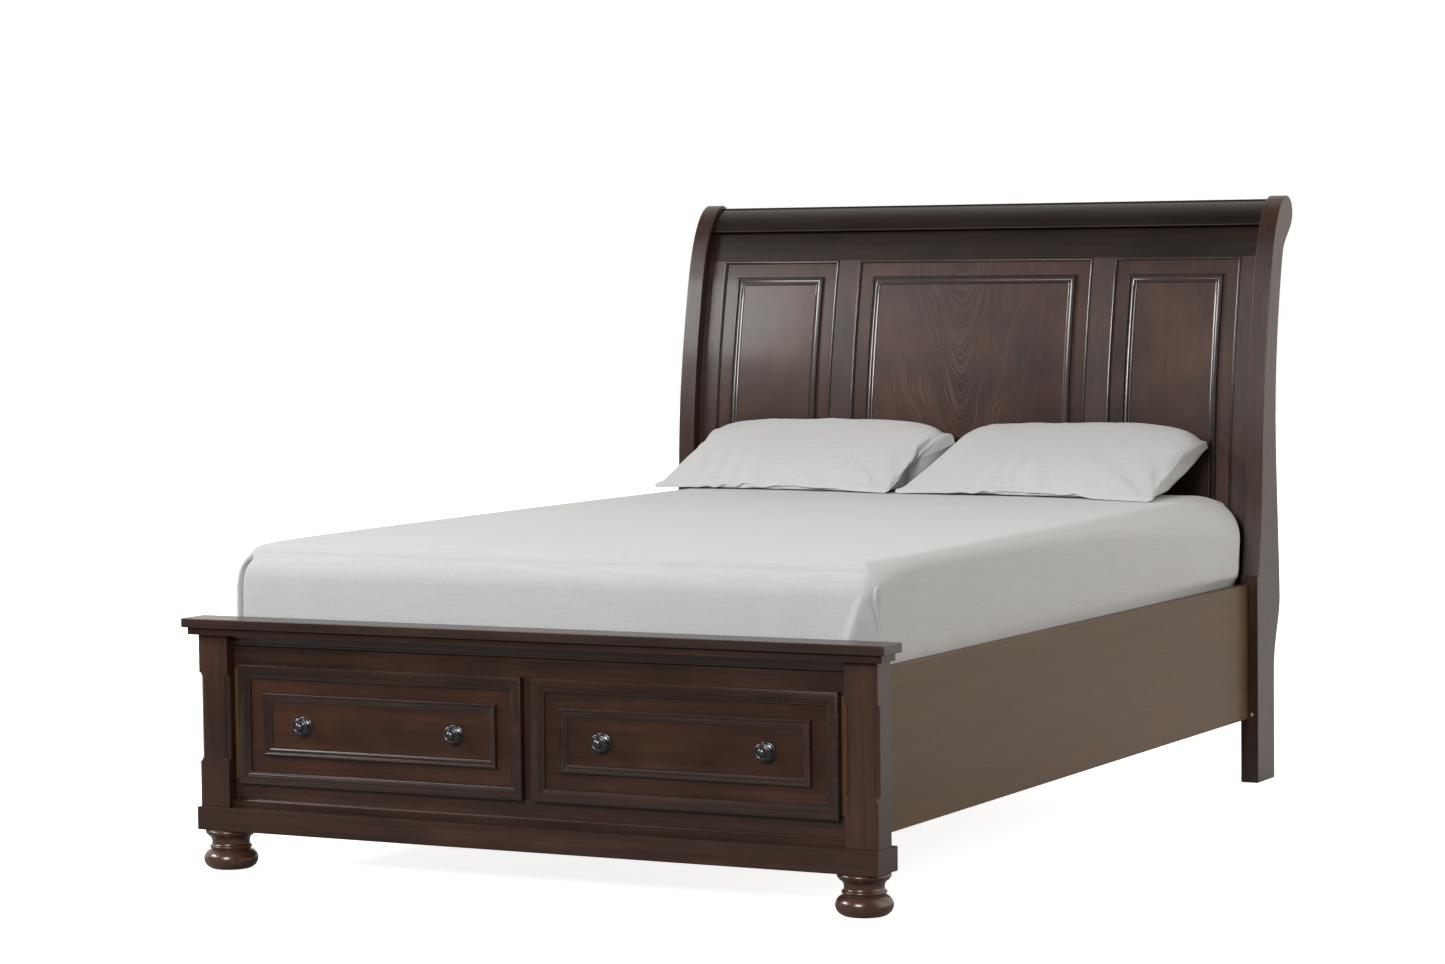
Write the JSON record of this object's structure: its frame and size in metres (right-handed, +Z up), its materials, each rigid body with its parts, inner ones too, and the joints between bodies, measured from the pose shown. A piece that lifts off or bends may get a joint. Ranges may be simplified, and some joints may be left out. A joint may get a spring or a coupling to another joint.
{
  "type": "sleigh bed",
  "caption": "Panelled sleigh bed with a scrolled headboard, low footboard on bun feet and two storage drawers, made up with a mattress and pillows.",
  "frame": {"origin": "on the floor, at the middle of the overall width and length", "axes": "+X to the right seen from the foot, +Y from the footboard to the headboard, +Z up"},
  "size_m": [1.684, 2.464, 1.452],
  "materials": {
    "dark_wood": "satin espresso stain",
    "pale_wood": "clear sealed",
    "knob_metal": "dark pewter, softly polished",
    "zinc_steel": "zinc plated",
    "fitted_sheet": "plain weave cotton",
    "pillow_cover": "plain weave cotton"
  },
  "bodies": {
    "root": {"headboard_post_left": "dark_wood", "headboard_post_right": "dark_wood", "crest_rail": "dark_wood", "headboard_top_rail": "dark_wood", "headboard_bottom_rail": "dark_wood", "headboard_stiles": "dark_wood", "headboard_panel_center": "dark_wood", "headboard_panels_side": "dark_wood", "panel_mouldings": "dark_wood", "panel_beads": "dark_wood", "headboard_back_sheet": "dark_wood", "footboard_post_left": "dark_wood", "footboard_post_right": "dark_wood", "footboard_cap": "dark_wood", "footboard_cap_layer": "dark_wood", "footboard_apron_moulding": "dark_wood", "footboard_top_rail": "dark_wood", "footboard_center_stile": "dark_wood", "footboard_bottom_rail": "dark_wood", "plinth": "dark_wood", "plinth_moulding": "dark_wood", "bun_foot_left": "dark_wood", "bun_foot_right": "dark_wood", "foot_bolts": "zinc_steel", "case_partitions": "dark_wood", "case_back": "dark_wood", "slide_outer_members": "zinc_steel", "side_rail_left": "dark_wood", "side_rail_right": "dark_wood", "rail_cleats": "pale_wood", "rail_hook_plates": "zinc_steel", "leg_bolt_caps": "zinc_steel", "slats": "pale_wood", "center_beam": "pale_wood", "center_legs": "pale_wood", "mattress": "fitted_sheet", "pillow_left": "pillow_cover", "pillow_right": "pillow_cover"},
    "slide_left": {"slide_left_mid_members": "zinc_steel"},
    "slide_right": {"slide_right_mid_members": "zinc_steel"},
    "drawer_left": {"drawer_left_frame": "dark_wood", "drawer_left_panel": "dark_wood", "drawer_left_moulding": "dark_wood", "drawer_left_box_front": "pale_wood", "drawer_left_sides": "pale_wood", "drawer_left_back": "pale_wood", "drawer_left_bottom": "pale_wood", "drawer_left_knobs": "knob_metal", "drawer_left_knob_screws": "zinc_steel", "drawer_left_slide_members": "zinc_steel"},
    "drawer_right": {"drawer_right_frame": "dark_wood", "drawer_right_panel": "dark_wood", "drawer_right_moulding": "dark_wood", "drawer_right_box_front": "pale_wood", "drawer_right_sides": "pale_wood", "drawer_right_back": "pale_wood", "drawer_right_bottom": "pale_wood", "drawer_right_knobs": "knob_metal", "drawer_right_knob_screws": "zinc_steel", "drawer_right_slide_members": "zinc_steel"}
  },
  "joints": [
    {"name": "drawer_left_slide", "type": "slide", "parent": "root", "child": "drawer_left", "axis": [0, -1, 0], "range_m": [0, 0.4]},
    {"name": "drawer_right_slide", "type": "slide", "parent": "root", "child": "drawer_right", "axis": [0, -1, 0], "range_m": [0, 0.4]},
    {"name": "slide_left_slide", "type": "slide", "parent": "root", "child": "slide_left", "axis": [0, -1, 0], "range_m": [0, 0.2]},
    {"name": "slide_right_slide", "type": "slide", "parent": "root", "child": "slide_right", "axis": [0, -1, 0], "range_m": [0, 0.2]}
  ],
  "couplings": [
    {"joint": "slide_left_slide", "follows": "drawer_left_slide", "ratio": 0.5},
    {"joint": "slide_right_slide", "follows": "drawer_right_slide", "ratio": 0.5}
  ]
}
